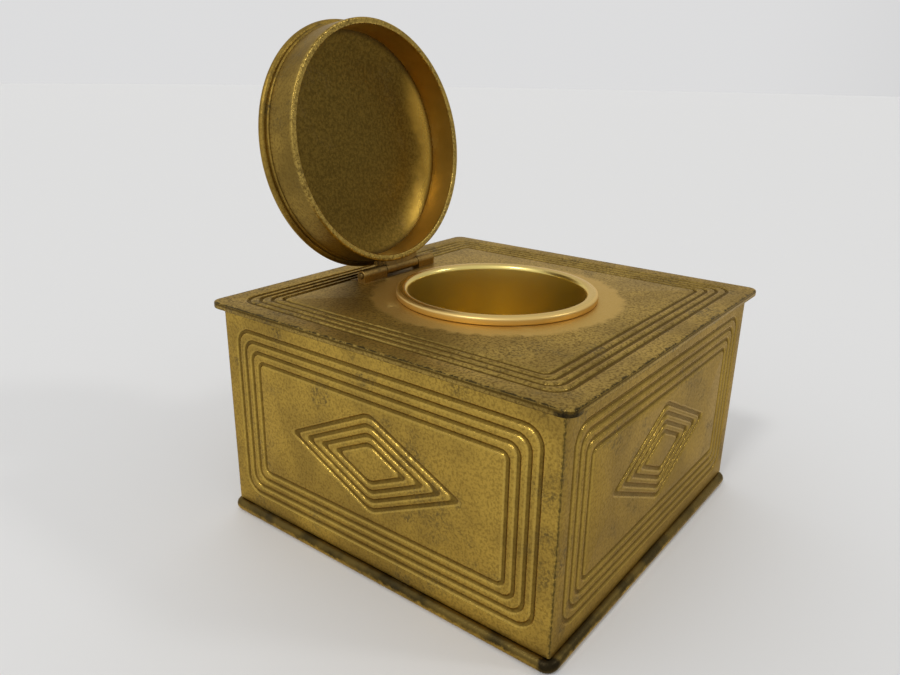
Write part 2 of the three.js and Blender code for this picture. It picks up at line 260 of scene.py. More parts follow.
select_rings(front_wall, border[-1], lozenge[0])
bpy.ops.mesh.fill()
select_rings(front_wall, lozenge[-1])
bpy.ops.mesh.edge_face_add()
select_rings(front_wall, border[0])
bpy.ops.mesh.edge_face_add()
finish_mesh(front_wall)


def note(piece, name, measure):
    """Keeps a number for each point of the piece, which its finish reads."""
    kept = piece.data.attributes.new(name, "FLOAT", "POINT")
    for vertex in piece.data.vertices:
        kept.data[vertex.index].value = measure(vertex.co)


def groove_depth(place):
    """How deep a point lies below a face at height zero, as a share of a groove's depth."""
    depth = -place.z / full_depth
    return depth if depth < 1.2 else 0.0


note(front_wall, "hollow", groove_depth)
front_wall.rotation_euler = (math.radians(90), 0, 0)
front_wall.location = (0, -wall_face, wall_middle_height)
bpy.ops.object.transform_apply(location=True, rotation=True, scale=True)

walls = [front_wall]
for quarter, side in enumerate(("right", "back", "left"), start=1):
    nothing_selected()
    front_wall.select_set(True)
    bpy.context.view_layer.objects.active = front_wall
    bpy.ops.object.duplicate()
    wall = bpy.context.object
    wall.name = wall.data.name = side + "_wall_casting"
    wall.rotation_euler = (0, 0, math.radians(90 * quarter))
    bpy.ops.object.transform_apply(location=True, rotation=True, scale=True)
    walls.append(wall)

# The front wall is tinted browner and darker than the other three.
note(front_wall, "dull", lambda place: 1.0)


# The gilding: a warm gold over brown bronze. The colours are for bare metal, in linear light.
def start_finish(name, roughness):
    material = bpy.data.materials.new(name)
    material.use_nodes = True
    shader = material.node_tree.nodes["Principled BSDF"]
    shader.inputs["Metallic"].default_value = 1.0
    shader.inputs["Specular IOR Level"].default_value = 0.25
    shader.inputs["Specular Tint"].default_value = (1.0, 0.87, 0.66, 1)
    shader.inputs["Roughness"].default_value = roughness
    return material, material.node_tree, shader


def feed(tree, socket, value):
    if isinstance(value, bpy.types.NodeSocket):
        tree.links.new(value, socket)
    elif isinstance(value, tuple) and len(value) == 3 and socket.type == "RGBA":
        socket.default_value = (*value, 1.0)
    else:
        socket.default_value = value


def object_place(tree):
    return tree.nodes.new("ShaderNodeTexCoord").outputs["Object"]


def noise(tree, scale, detail, coarse):
    node = tree.nodes.new("ShaderNodeTexNoise")
    node.inputs["Scale"].default_value = scale
    node.inputs["Detail"].default_value = detail
    node.inputs["Roughness"].default_value = coarse
    tree.links.new(object_place(tree), node.inputs["Vector"])
    return node.outputs[0]


def spread(tree, value, low, high, to_low=0.0, to_high=1.0):
    """Smooth step from low to high."""
    node = tree.nodes.new("ShaderNodeMapRange")
    node.interpolation_type = "SMOOTHSTEP"
    for socket, given in zip(node.inputs, (value, low, high, to_low, to_high)):
        feed(tree, socket, given)
    return node.outputs[0]


def combine(tree, kind, first, second=0.0, third=0.0):
    """Works out one number of the surface from up to three others."""
    node = tree.nodes.new("ShaderNodeMath")
    node.operation = kind
    for socket, given in zip(node.inputs, (first, second, third)):
        feed(tree, socket, given)
    return node.outputs[0]


def tint(tree, amount, under, over):
    """The colour over, laid on the colour under by that amount."""
    node = tree.nodes.new("ShaderNodeMix")
    node.data_type = "RGBA"
    feed(tree, node.inputs[0], amount)
    feed(tree, node.inputs[6], under)
    feed(tree, node.inputs[7], over)
    return node.outputs[2]


def grain_bump(tree, shader, height, strength, distance):
    node = tree.nodes.new("ShaderNodeBump")
    node.inputs["Strength"].default_value = strength
    node.inputs["Distance"].default_value = distance
    tree.links.new(height, node.inputs["Height"])
    tree.links.new(node.outputs["Normal"], shader.inputs["Normal"])


def attribute(tree, name):
    """A number that was kept on the piece's points by note."""
    node = tree.nodes.new("ShaderNodeAttribute")
    node.attribute_name = name
    return node.outputs["Fac"]


warm_gold = (0.50, 0.325, 0.06)
dull_gold = (0.35, 0.225, 0.045)
worn_brown = (0.14, 0.083, 0.018)
old_dirt = (0.045, 0.032, 0.012)
rubbed_gold = (0.60, 0.41, 0.09)
groove_dirt_and_shade_brown = (0.085, 0.048, 0.008)


def aged_gilding(name, gold=warm_gold, dull=dull_gold, speck=0.45, stain=0.75, roughness=0.38,
                 groove_dirt_and_shade=0.65, rubbed=0.35):
    """Gilding rubbed to a speckle: cloudy tones, sandy grain, dark stains, and grooves browned by
    dirt and painted shade.
    """
    material, tree, shader = start_finish(name, roughness)
    cloud = spread(tree, noise(tree, 60, 3, 0.6), 0.35, 0.65)
    colour = tint(tree, cloud, gold, dull)
    grain = noise(tree, 1800, 3, 0.7)
    specks = spread(tree, grain, 0.45, 0.62, 0.0, speck)
    colour = tint(tree, specks, colour, worn_brown)
    blot = spread(tree, noise(tree, 105, 4, 0.6), 0.53, 0.72)
    fine = spread(tree, noise(tree, 1500, 4, 0.75), 0.44, 0.58)
    stains = combine(tree, "MULTIPLY", combine(tree, "MULTIPLY", blot, fine), stain)
    colour = tint(tree, stains, colour, old_dirt)
    hollow = attribute(tree, "hollow")
    shoulder = combine(tree, "MULTIPLY", spread(tree, hollow, 0.04, 0.16),
                      spread(tree, hollow, 0.5, 0.9, 1.0, 0.0))
    colour = tint(tree, combine(tree, "MULTIPLY", shoulder, rubbed), colour, rubbed_gold)
    # Dirt and painted shade: the grooves turn brown towards their bottoms.
    deep = spread(tree, hollow, 0.4, 0.9, 0.0, groove_dirt_and_shade)
    colour = tint(tree, deep, colour, groove_dirt_and_shade_brown)
    feed(tree, shader.inputs["Metallic"], combine(tree, "MULTIPLY_ADD", stains, -0.7, 1.0))
    rough = combine(tree, "MULTIPLY_ADD", grain, 0.35, roughness - 0.17)
    rough = combine(tree, "MULTIPLY_ADD", stains, 0.2, rough)
    rough = combine(tree, "MULTIPLY_ADD", shoulder, -0.2, rough)
    feed(tree, shader.inputs["Roughness"], rough)
    grain_bump(tree, shader, grain, 0.65, 0.00014)
    return material, tree, shader, colour


def wander(tree, scale, detail, coarse, width):
    """A ragged border: noise that strays by half the width to each side."""
    return combine(tree, "MULTIPLY_ADD", noise(tree, scale, detail, coarse), width, -width / 2)


def plan_distances(tree):
    """The larger and the smaller distance from the two upright middle planes of the case."""
    split = tree.nodes.new("ShaderNodeSeparateXYZ")
    tree.links.new(object_place(tree), split.inputs[0])
    across_x = combine(tree, "ABSOLUTE", split.outputs["X"])
    across_y = combine(tree, "ABSOLUTE", split.outputs["Y"])
    return combine(tree, "MAXIMUM", across_x, across_y), combine(tree, "MINIMUM", across_x, across_y)


wall_gilding, tree, shader, colour = aged_gilding("aged_gilt_walls")
# The front wall is tinted a share towards brown here.
front_wall_darkening = combine(tree, "MULTIPLY", attribute(tree, "dull"), 0.3)
colour = tint(tree, front_wall_darkening, colour, worn_brown)

# Dirt has crept out of the mitred seam along a ragged line.
smaller = plan_distances(tree)[1]
seam_place = combine(tree, "ADD", smaller, wander(tree, 1100, 5, 0.7, 1.6 * MM))
seam = spread(tree, seam_place, wall_face - 0.5 * MM, wall_face - 0.05 * MM, 0.0, 0.75)
colour = tint(tree, seam, colour, old_dirt)
feed(tree, shader.inputs["Base Color"], colour)

for wall in walls:
    wall.data.materials.append(wall_gilding)
    node_name = wall.name.replace("_casting", "")
    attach(wall, "case")
    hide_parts(node_name)

# ---- Base plate ----
# A cast plate under the walls with a full rounded edge. Polish and dust have gathered along
# the top of the edge and turned black. Four countersunk holes take the screws.
base_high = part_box("base_plate")[1]
base_half = base_high.x
base_top = base_high.z
base_corner = 2.6 * MM
edge_radius = base_top / 2
corner_names = ("front_left", "front_right", "back_right", "back_left")


def base_rings():
    """From the underside, out round the edge and in under the walls."""
    rings = []
    for turn in range(-90, 91, 15):
        angle = math.radians(turn)
        inset = edge_radius * (1 - math.cos(angle))
        half = base_half - inset
        rings.append((half, half, edge_radius * (1 + math.sin(angle)), base_corner - inset))
    return rings


def activate(piece):
    nothing_selected()
    piece.select_set(True)
    bpy.context.view_layer.objects.active = piece


def carve(piece, tool, operation="DIFFERENCE"):
    """Cuts the tool out of the piece, or joins it on, and clears the tool away."""
    activate(piece)
    bpy.ops.object.modifier_add(type="BOOLEAN")
    modifier = piece.modifiers[-1]
    modifier.operation = operation
    modifier.solver = "EXACT"
    modifier.object = tool
    bpy.ops.object.modifier_apply(modifier=modifier.name)
    bpy.data.objects.remove(tool)


def turn_profile(name, profile, steps):
    """A piece turned about the Z axis from its profile, a list of radius and height."""
    piece = new_piece(name)
    bpy.ops.mesh.primitive_plane_add(size=1)
    bpy.ops.mesh.merge(type="CENTER")
    mesh = bmesh.from_edit_mesh(piece.data)
    here = Vector((profile[0][0], 0, profile[0][1]))
    for vertex in mesh.verts:
        vertex.co = here
    bmesh.update_edit_mesh(piece.data)
    for radius, height in profile[1:]:
        there = Vector((radius, 0, height))
        bpy.ops.mesh.extrude_region_move(TRANSFORM_OT_translate={"value": there - here})
        here = there
    bpy.ops.mesh.select_all(action="SELECT")
    bpy.ops.mesh.spin(steps=steps, angle=2 * math.pi, center=(0, 0, 0), axis=(0, 0, 1))
    finish_mesh(piece)
    return piece


def arc(middle, radius, first, last, steps):
    """Points on an arc in a profile; the angles are in degrees from the radius outwards."""
    points = []
    for step in range(steps + 1):
        angle = math.radians(first + (last - first) * step / steps)
        points.append((middle[0] + radius[0] * math.cos(angle),
                       middle[1] + radius[1] * math.sin(angle)))
    return points


base = new_piece("base_plate_casting")
rings = bridge_rings(base, add_rectangle, base_rings())
for outer in (rings[0], rings[-1]):
    select_rings(base, outer)
    bpy.ops.mesh.edge_face_add()
finish_mesh(base)

corner_places = []
for name in corner_names:
    low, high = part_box(name + "_screw")
    corner_places.append((low + high) / 2)
screw_low, screw_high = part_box("front_left_screw")
screw_head = (screw_high.x - screw_low.x) / 2
screw_body = 1.5 * MM
sink = 1.4 * MM
play = 0.2 * MM
screw_steps = 48
for place in corner_places:
    tool = turn_profile("screw_hole", [
        (0, -MM), (screw_head + play, -MM), (screw_head + play, screw_low.z),
        (screw_body + play, screw_low.z + sink), (screw_body + play, base_top + MM),
        (0, base_top + MM)], screw_steps)
    tool.location = (place.x, place.y, 0)
    carve(base, tool)
finish_mesh(base)


def flat_place(tree):
    """Where a point is in plan, its height left out."""
    flat = tree.nodes.new("ShaderNodeVectorMath")
    flat.operation = "MULTIPLY"
    flat.inputs[1].default_value = (1, 1, 0)
    tree.links.new(object_place(tree), flat.inputs[0])
    return flat.outputs[0]


def height_of(tree):
    split = tree.nodes.new("ShaderNodeSeparateXYZ")
    tree.links.new(object_place(tree), split.inputs[0])
    return split.outputs["Z"]


def near_corner(tree, corner, spread_out):
    """1 within the given distance of the case's corner, with a ragged border."""
    away = tree.nodes.new("ShaderNodeVectorMath")
    away.operation = "DISTANCE"
    away.inputs[1].default_value = (corner[0], corner[1], 0)
    tree.links.new(flat_place(tree), away.inputs[0])
    distance = combine(tree, "ADD", away.outputs["Value"], wander(tree, 500, 4, 0.7, 3 * MM))
    return spread(tree, distance, spread_out * 0.7, spread_out, 1.0, 0.0)


base_gilding, tree, shader, colour = aged_gilding("aged_gilt_base", roughness=0.36)
grime_brown = (0.13, 0.088, 0.024)
grime_black = (0.03, 0.024, 0.012)
corner_black = (0.012, 0.010, 0.007)
height = combine(tree, "ADD", height_of(tree), wander(tree, 450, 5, 0.7, 2.4 * MM))
grime = spread(tree, height, 1.0 * MM, 1.8 * MM, 0.0, 0.93)
blackened = spread(tree, noise(tree, 75, 3, 0.6), 0.42, 0.6)
colour = tint(tree, grime, colour, tint(tree, blackened, grime_brown, grime_black))
# Near the front left corner the base is coloured near black.
dark_corner = near_corner(tree, (-base_half, -base_half), 3.5 * MM)
colour = tint(tree, combine(tree, "MULTIPLY", dark_corner, 0.9), colour, corner_black)
feed(tree, shader.inputs["Base Color"], colour)
base.data.materials.append(base_gilding)
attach(base, "case")
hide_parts("base_plate")

# ---- Corner blocks and screws ----
# Plain brass blocks brazed into the bottom corners of the case, drilled and tapped, and
# slotted countersunk screws that come up through the base into them.
brass_brown = (0.24, 0.16, 0.055)
brass_shade = (0.12, 0.078, 0.026)
dark_brass, tree, shader = start_finish("dark_brass_metal", 0.5)
cloudy = spread(tree, noise(tree, 400, 4, 0.6), 0.35, 0.65)
feed(tree, shader.inputs["Base Color"], tint(tree, cloudy, brass_brown, brass_shade))
brass_grain = noise(tree, 1800, 3, 0.6)
feed(tree, shader.inputs["Roughness"], combine(tree, "MULTIPLY_ADD", brass_grain, 0.3, 0.35))
grain_bump(tree, shader, brass_grain, 0.3, 0.0001)

block_edge = 0.5 * MM
screw_edge = 0.15 * MM
screw_taper = 0.8 * MM
slot_length = 8 * MM
slot_width = 0.7 * MM
slot_depth = 0.6 * MM

for name, place in zip(corner_names, corner_places):
    low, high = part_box(name + "_block")
    nothing_selected()
    bpy.ops.mesh.primitive_cube_add(size=1, location=(low + high) / 2, scale=high - low)
    block = bpy.context.object
    block.name = block.data.name = name + "_corner_block"
    bpy.ops.object.transform_apply(location=True, rotation=True, scale=True)
    bpy.ops.object.mode_set(mode="EDIT")
    bpy.ops.mesh.select_all(action="SELECT")
    bpy.ops.mesh.bevel(offset=block_edge, segments=3)
    bpy.ops.object.mode_set(mode="OBJECT")
    tool = turn_profile("screw_hole", [
        (0, low.z - MM), (screw_body + play, low.z - MM), (screw_body + play, high.z + MM),
        (0, high.z + MM)], screw_steps)
    tool.location = (place.x, place.y, 0)
    carve(block, tool)
    finish_mesh(block)
    block.data.materials.append(dark_brass)
    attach(block, "case")
    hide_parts(name + "_block")

    screw = turn_profile(name + "_slotted_screw", [
        (0, screw_low.z), (screw_head - screw_edge, screw_low.z),
        (screw_head, screw_low.z + screw_edge), (screw_body, screw_low.z + sink),
        (screw_body, screw_high.z - screw_taper), (screw_body / 2, screw_high.z),
        (0, screw_high.z)], screw_steps)
    nothing_selected()
    bpy.ops.mesh.primitive_cube_add(size=1, location=(0, 0, screw_low.z))
    slot_tool = bpy.context.object
    slot_tool.scale = (slot_length, slot_width, 2 * slot_depth)
    carve(screw, slot_tool)
    finish_mesh(screw)
    screw.location = (place.x, place.y, 0)
    bpy.ops.object.transform_apply(location=True, rotation=True, scale=True)
    screw.data.materials.append(dark_brass)
    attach(screw, "case")
    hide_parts(name + "_screw")

# ---- Top plate ----
# A thin square plate brazed on the walls, with a round hole for the liner and four grooves
# round its border. The lid keeps a ring round the liner clean and bright; the rest has
# darkened to a speckled olive brown.
top_low, top_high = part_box("top_plate")
top_half = top_high.x
top_thickness = top_high.z - top_low.z
top_corner = 2.4 * MM
top_margin = 4.9 * MM
top_pitch = 2.0 * MM
hole_radius = 21.7 * MM
hole_edge = 0.2 * MM
hole_flare = 0.15 * MM
under_round = 0.3 * MM
top_round = 0.4 * MM
leaf_low, leaf_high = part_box("hinge_leaf")


def add_circle(radius, height):
    bpy.ops.mesh.primitive_circle_add(
        vertices=96, radius=radius, fill_type="NOTHING", location=(0, 0, height))


top_plate = new_piece("top_plate_casting")
skin = []
for half, height in arc((top_half - under_round, -top_thickness + under_round),
                        (under_round, under_round), -90, 0, 3):
    skin.append((half, half, height, top_corner))
for half, height in arc((top_half - top_round, -top_round), (top_round, top_round), 0, 90, 4):
    skin.append((half, half, height, top_corner - (top_half - half)))
skin += border_rings(top_half - top_margin, top_half - top_margin, top_pitch)
border = bridge_rings(top_plate, add_rectangle, skin)
hole = bridge_rings(top_plate, add_circle, [
    (hole_radius, -top_thickness), (hole_radius, -hole_edge), (hole_radius + hole_flare, 0.0)])
select_rings(top_plate, border[0], hole[0])
bpy.ops.mesh.fill()
select_rings(top_plate, border[-1], hole[-1])
bpy.ops.mesh.fill()
finish_mesh(top_plate)

# The shallow seat that the hinge's leaf is let into
seat_play = 0.15 * MM
seat_depth = 0.5 * MM + seat_play
nothing_selected()
bpy.ops.mesh.primitive_cube_add(size=1)
seat_tool = bpy.context.object
seat_tool.scale = (leaf_high.x - leaf_low.x + 2 * seat_play,
                   leaf_high.y - leaf_low.y + 2 * seat_play, 2 * seat_depth)
seat_tool.location = (0, (leaf_low.y + leaf_high.y) / 2, 0)
carve(top_plate, seat_tool)
finish_mesh(top_plate)
note(top_plate, "hollow", groove_depth)
top_plate.location = (0, 0, top_high.z)
bpy.ops.object.transform_apply(location=True, rotation=True, scale=True)

top_gilding, tree, shader, colour = aged_gilding(
    "aged_gilt_top", gold=(0.46, 0.31, 0.075), dull=(0.31, 0.205, 0.05), speck=0.8, stain=0.85,
    roughness=0.44, groove_dirt_and_shade=0.85, rubbed=0.0)
clean_gold = (0.56, 0.375, 0.11)
under_edge_black = (0.014, 0.011, 0.007)


def from_axis(tree):
    """How far a point is from the upright line through the middle of the liner."""
    reach = tree.nodes.new("ShaderNodeVectorMath")
    reach.operation = "LENGTH"
    tree.links.new(flat_place(tree), reach.inputs[0])
    return reach.outputs["Value"]


from_liner = combine(tree, "ADD", from_axis(tree), wander(tree, 350, 5, 0.65, 5 * MM))
clean = spread(tree, from_liner, 27.6 * MM, 29.6 * MM, 1.0, 0.0)
colour = tint(tree, clean, colour, clean_gold)
outwards = plan_distances(tree)[0]
edge_place = combine(tree, "ADD", outwards, wander(tree, 600, 5, 0.75, 3 * MM))
worn_edge = spread(tree, edge_place, top_half - 0.5 * MM, top_half - 0.1 * MM, 0.0, 0.95)
on_side = spread(tree, outwards, top_half - 0.12 * MM, top_half - 0.02 * MM, 1.0, 0.15)
colour = tint(tree, combine(tree, "MULTIPLY", worn_edge, on_side), colour, old_dirt)
# Near the front left corner the lower part of the plate's edge is coloured near black.
dark_corner = near_corner(tree, (-top_half, -top_half), 4.0 * MM)
under_edge = spread(tree, height_of(tree), top_high.z - 0.9 * MM, top_high.z - 0.35 * MM, 0.9, 0.0)
colour = tint(tree, combine(tree, "MULTIPLY", dark_corner, under_edge), colour, under_edge_black)
feed(tree, shader.inputs["Base Color"], colour)
top_plate.data.materials.append(top_gilding)
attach(top_plate, "case")
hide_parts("top_plate")

# ---- Liner ----
# A cup spun from sheet, with a thick rolled rim that rests on the top plate. It lifts out
# to be washed, so its gilding is still bright and satin.
liner_low, liner_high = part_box("liner_cup")
rim_radius = liner_high.x
cup_radius = 20.2 * MM
cup_wall = 1.1 * MM
floor_corner = 3.0 * MM
floor_thickness = 1.4 * MM
seat_gap = 0.03 * MM
rim_under = top_high.z + seat_gap
rim_top = liner_high.z
cup_floor = liner_low.z
rim_foot = 0.3 * MM
rim_shoulder = 0.6 * MM
inner_roll = 1.2 * MM
crown_inset = 1.3 * MM
crown_drop = 0.14 * MM
neck_drop = 3 * MM

profile = [(0, cup_floor)]
profile += arc((cup_radius + cup_wall - floor_corner, cup_floor + floor_corner),
               (floor_corner, floor_corner), -90, 0, 8)
profile += [(cup_radius + cup_wall, rim_under)]
profile += arc((rim_radius - rim_foot, rim_under + rim_foot), (rim_foot, rim_foot), -90, 0, 5)
profile += arc((rim_radius - rim_shoulder, rim_top - crown_drop - rim_shoulder),
               (rim_shoulder, rim_shoulder), 0, 75, 7)
profile += [(rim_radius - crown_inset, rim_top)]
profile += arc((cup_radius + inner_roll, rim_top - inner_roll), (inner_roll, inner_roll), 90, 180, 9)
profile += [(cup_radius, rim_under - neck_drop)]
profile += arc((cup_radius - floor_corner, cup_floor + floor_thickness + floor_corner),
               (floor_corner, floor_corner), 0, -90, 8)
profile += [(0, cup_floor + floor_thickness)]
liner = turn_profile("liner_cup_spinning", profile, 128)

light_gold = (0.94, 0.77, 0.27)
deep_gold = (0.86, 0.69, 0.22)
rim_gold = (0.66, 0.48, 0.175)
handled_gold = (0.80, 0.56, 0.20)
bright_gilding, tree, shader = start_finish("bright_gilt_liner", 0.24)
satin = noise(tree, 60, 1, 0.5)
colour = tint(tree, satin, light_gold, deep_gold)
outwards = from_axis(tree)
over_rim = spread(tree, outwards, cup_radius, cup_radius + 0.7 * MM)
colour = tint(tree, over_rim, colour, rim_gold)
handled = spread(tree, outwards, rim_radius - 0.9 * MM, rim_radius - 0.3 * MM)
colour = tint(tree, handled, colour, handled_gold)
feed(tree, shader.inputs["Base Color"], colour)
feed(tree, shader.inputs["Roughness"], combine(tree, "MULTIPLY_ADD", handled, 0.12, 0.27))
grain_bump(tree, shader, noise(tree, 1800, 2, 0.5), 0.12, 0.00005)
liner.data.materials.append(bright_gilding)
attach(liner, "liner")
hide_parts("liner_cup")

# ---- Lid ----
# A round box lid: a turned skirt brazed under a cast cover with a dished underside, a small
# bead and a rounded flange outside, and a low dome with four rings. The pieces are made as
# if the lid were shut, then swung open about the hinge.
hinge = next(joint for joint in frame["joints"] if joint["name"] == "lid_hinge")
pivot = Vector(hinge["pos_m"])
open_angle = math.radians(max(abs(end) for end in hinge["range_deg"]))
lip_drop = 1.3 * MM
swing = (Matrix.Translation(pivot)
         @ Matrix.Rotation(-open_angle, 4, "X")
         @ Matrix.Translation((0, -pivot.y, -lip_drop)))


def swing_open(piece):
    activate(piece)
    piece.matrix_world = swing
    bpy.ops.object.transform_apply(location=True, rotation=True, scale=True)


skirt_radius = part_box("lid_skirt")[1].x
skirt_wall = 1.5 * MM
skirt_bore = skirt_radius - skirt_wall
skirt_height = 7.4 * MM
lip_round = 0.4 * MM
lip_edge = 0.9 * MM
touch = 0.01 * MM
profile = arc((skirt_bore + lip_round, lip_round), (lip_round, lip_round), 180, 270, 5)
profile += arc((skirt_radius - lip_round, lip_round), (lip_round, lip_round), -90, 0, 5)
profile += [(skirt_radius, lip_edge), (skirt_radius, skirt_height),
            (skirt_bore, skirt_height), (skirt_bore, lip_edge), profile[0]]
skirt = turn_profile("lid_skirt_turning", profile, 160)
note(skirt, "inside", lambda place: float(math.hypot(place.x, place.y) < skirt_bore + touch))
note(skirt, "lip", lambda place: max(0.0, 1.0 - place.z / lip_edge))
swing_open(skirt)

cover_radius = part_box("lid_top")[1].x
cover_low = skirt_height + 0.05 * MM
bead_top = skirt_height + 1.1 * MM
flange_top = bead_top + 1.7 * MM
dome_top = flange_top + 2.2 * MM
dish_top = cover_low + 2.4 * MM
dish_flat = 18.0 * MM
dome_flat = 24.0 * MM
ring_margin = 1.4 * MM
ring_pitch = 1.9 * MM
bead_round = 0.35 * MM
bead_step = 0.2 * MM
flange_round = 0.85 * MM
dome_edge = cover_radius - flange_round
dish_rise = dish_top - cover_low
dish_run = skirt_bore - dish_flat
dish_turn = 2 * math.atan(dish_rise / dish_run)
dish_round = dish_run / math.sin(dish_turn)
profile = [(0, dish_top)]
profile += arc((dish_flat, dish_top - dish_round), (dish_round, dish_round),
               90, 90 - math.degrees(dish_turn), 14)
profile += [(skirt_radius, cover_low)]
profile += arc((skirt_radius, cover_low + bead_round), (bead_round, bead_round), -90, 60, 8)
profile += [(skirt_radius + bead_step, bead_top)]
profile += arc((dome_edge, bead_top + flange_round), (flange_round, flange_round), -90, 90, 12)
profile += arc((dome_edge, dome_top), (dome_edge - dome_flat, flange_top - dome_top), 90, 180, 8)[1:]
for groove in range(groove_count):
    middle = dome_flat - ring_margin - ring_pitch * groove
    for offset, depth in groove_section:
        profile.append((middle + offset * MM, dome_top - depth * MM))
profile += [(0, dome_top)]
cover = turn_profile("lid_cover_casting", profile, 160)


def under_cover(place):
    return float(place.z < dish_top + touch and math.hypot(place.x, place.y) < skirt_bore + 0.5 * MM)


def ring_depth(place):
    on_flat = math.hypot(place.x, place.y) < dome_flat
    return max(0.0, (dome_top - place.z) / full_depth) if on_flat else 0.0


note(cover, "inside", under_cover)
note(cover, "reach", lambda place: math.hypot(place.x, place.y) / MM)
note(cover, "hollow", ring_depth)
swing_open(cover)

# Inside, the skirt is smooth and bright. Its lip is rubbed to a speckle.
inner_gold = (0.92, 0.63, 0.16)
inner_shade = (0.76, 0.51, 0.115)
lip_gold = (0.50, 0.34, 0.08)
skirt_gilding, tree, shader, colour = aged_gilding(
    "aged_gilt_skirt", gold=(0.36, 0.235, 0.05), dull=(0.20, 0.128, 0.028), speck=0.6, stain=0.4)
inside = attribute(tree, "inside")
cloudy = spread(tree, noise(tree, 90, 3, 0.5), 0.35, 0.65)
colour = tint(tree, inside, colour, tint(tree, cloudy, inner_gold, inner_shade))
speckle = spread(tree, noise(tree, 1700, 5, 0.8), 0.42, 0.58)
rubbed_lip = combine(tree, "MULTIPLY", attribute(tree, "lip"), speckle)
colour = tint(tree, rubbed_lip, colour, lip_gold)
feed(tree, shader.inputs["Roughness"], combine(tree, "MULTIPLY_ADD", rubbed_lip, -0.12, 0.36))
feed(tree, shader.inputs["Base Color"], colour)
skirt.data.materials.append(skirt_gilding)
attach(skirt, "lid")
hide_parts("lid_skirt")

cover_gilding, tree, shader, colour = aged_gilding(
    "aged_gilt_cover", gold=(0.35, 0.225, 0.044), dull=(0.23, 0.145, 0.028), roughness=0.4)

# The dish is dark and mottled. Its shoulder has a painted highlight on the right and towards the
# hinge.
# The attribute "reach" is a distance from the lid's middle in millimetres.
# The dish's dark brown is partly its own mottled colour and partly a painted dark reflection of the
# dark front of the room.
under_brown = (0.17, 0.107, 0.020)
under_shade = (0.10, 0.062, 0.011)
dish_highlight_gold = (0.46, 0.285, 0.048)
crease_shade_brown = (0.05, 0.028, 0.007)
lid_reach = 30 * MM
mottle = spread(tree, noise(tree, 1300, 4, 0.7), 0.35, 0.65)
under = tint(tree, mottle, under_brown, under_shade)
out_of_middle = combine(tree, "ADD", attribute(tree, "reach"), wander(tree, 160, 4, 0.6, 8.0))
sideways = tree.nodes.new("ShaderNodeVectorMath")
sideways.operation = "DOT_PRODUCT"
sideways.inputs[1].default_value = (0.98 / lid_reach, 0, -0.2 / lid_reach)
tree.links.new(object_place(tree), sideways.inputs[0])
highlight_side = spread(tree, sideways.outputs["Value"], -0.08, 0.22)
# Painted highlight, where the shoulder is also smoother: lighter gold on the right and towards the
# hinge.
dish_highlight = combine(tree, "MULTIPLY", spread(tree, out_of_middle, 19.5, 26.0), highlight_side)
under = tint(tree, dish_highlight, under, dish_highlight_gold)
inner_rough = combine(tree, "MULTIPLY_ADD", dish_highlight, -0.17, 0.43)
feed(tree, shader.inputs["Roughness"], inner_rough)
# Painted shade: the crease where the dish meets the skirt is darkened.
crease_shade = spread(tree, attribute(tree, "reach"), 25.6, 26.8, 0.0, 0.75)
under = tint(tree, crease_shade, under, crease_shade_brown)
colour = tint(tree, attribute(tree, "inside"), colour, under)
feed(tree, shader.inputs["Base Color"], colour)
cover.data.materials.append(cover_gilding)
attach(cover, "lid")
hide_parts("lid_top")

# ---- Hinge ----
# A narrow butt hinge: a leaf let into the top plate with two knuckles, a middle knuckle on a
# strap brazed to the skirt, and a plain brass pin through all three.
barrel = 1.25 * MM
bore = 0.85 * MM
hinge_edge = 0.12 * MM
knuckle_gap = 0.25 * MM
knuckle_low, knuckle_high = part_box("lid_knuckle")
leaf_thickness = 0.55 * MM
leaf_plate_top = top_high.z + 0.05 * MM
foot_side = barrel - 0.1 * MM
foot_inset = 0.05 * MM
foot_sink = 0.3 * MM
reamer_length = 60 * MM


def barrel_rod(name, start, end):
    """A knuckle before its hole is reamed: a short rod with softened ends."""
    length = end - start
    piece = turn_profile(name, [
        (0, 0), (barrel - hinge_edge, 0), (barrel, hinge_edge), (barrel, length - hinge_edge),
        (barrel - hinge_edge, length), (0, length)], 40)
    piece.rotation_euler = (0, math.radians(90), 0)
    piece.location = (start, pivot.y, pivot.z)
    activate(piece)
    bpy.ops.object.transform_apply(location=True, rotation=True, scale=True)
    return piece


nothing_selected()
leaf_size = Vector((leaf_high.x - leaf_low.x, leaf_high.y - leaf_low.y, leaf_thickness))
bpy.ops.mesh.primitive_cube_add(
    size=1, scale=leaf_size,
    location=(0, (leaf_low.y + leaf_high.y) / 2, leaf_plate_top - leaf_size.z / 2))
leaf = bpy.context.object
leaf.name = leaf.data.name = "hinge_leaf_plate"
bpy.ops.object.transform_apply(location=True, rotation=True, scale=True)
bpy.ops.object.mode_set(mode="EDIT")
bpy.ops.mesh.select_all(action="SELECT")
bpy.ops.mesh.bevel(offset=hinge_edge, segments=2)
bpy.ops.object.mode_set(mode="OBJECT")


def squared_block(name, low, high):
    """A squared block between two corners, its edges left sharp for joining."""
    nothing_selected()
    bpy.ops.mesh.primitive_cube_add(size=1, scale=Vector(high) - Vector(low),
                                    location=(Vector(high) + Vector(low)) / 2)
    piece = bpy.context.object
    piece.name = piece.data.name = name
    bpy.ops.object.transform_apply(location=True, rotation=True, scale=True)
    return piece


def bore_through(piece):
    """Reams the hinge pin's hole through the piece."""
    rod = turn_profile("reamer", [(0, 0), (bore, 0), (bore, reamer_length), (0, reamer_length)], 40)
    rod.rotation_euler = (0, math.radians(90), 0)
    rod.location = (-reamer_length / 2, pivot.y, pivot.z)
    activate(rod)
    bpy.ops.object.transform_apply(location=True, rotation=True, scale=True)
    carve(piece, rod)


